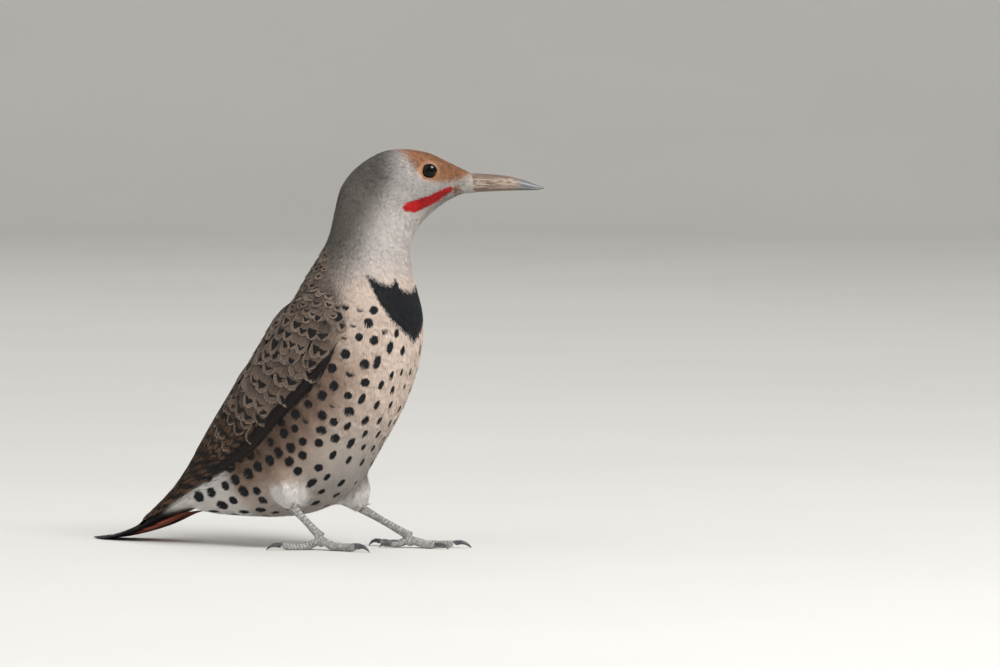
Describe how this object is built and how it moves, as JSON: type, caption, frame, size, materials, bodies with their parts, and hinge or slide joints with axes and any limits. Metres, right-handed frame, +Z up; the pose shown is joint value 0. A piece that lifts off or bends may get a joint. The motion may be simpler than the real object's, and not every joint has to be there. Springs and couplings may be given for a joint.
{
  "type": "woodpecker",
  "caption": "Life-size still model of a standing red-shafted flicker, a ground-feeding woodpecker: barred back, spotted breast, black bib, red cheek stripe, stiff tail on the floor.",
  "frame": {"origin": "on the floor, under the middle of the whole bird's box", "axes": "+X the way the bird's body faces, +Y its left side, +Z up; the bill is turned 30 degrees to the left of +X"},
  "size_m": [0.2388, 0.0802, 0.1994],
  "materials": {
    "grey_down": "soft grey feathers of the head and neck",
    "buff_down": "pinkish buff body feathers with black spots",
    "barred_vane": "brown wing feathers with dark bars",
    "dark_vane": "stiff blackish tail feathers",
    "white_down": "white thigh feathers",
    "bill_horn": "satin brownish grey horn",
    "scaled_skin": "pale bluish grey scaled skin",
    "claw_horn": "dark satin horn",
    "eye": "wet gloss, nearly black"
  },
  "bodies": {
    "root": {"bill_upper": "bill_horn", "bill_lower": "bill_horn", "head": "grey_down", "neck": "grey_down", "trunk": "buff_down", "tail": "dark_vane", "wing_left": "barred_vane", "wing_right": "barred_vane", "eye_left": "eye", "eye_right": "eye", "thigh_left": "white_down", "thigh_right": "white_down", "shank_left": "scaled_skin", "shank_right": "scaled_skin", "foot_left": "scaled_skin", "foot_right": "scaled_skin", "claw_left_outer_front": "claw_horn", "claw_left_inner_front": "claw_horn", "claw_left_outer_hind": "claw_horn", "claw_left_inner_hind": "claw_horn", "claw_right_outer_front": "claw_horn", "claw_right_inner_front": "claw_horn", "claw_right_outer_hind": "claw_horn", "claw_right_inner_hind": "claw_horn"}
  },
  "joints": []
}
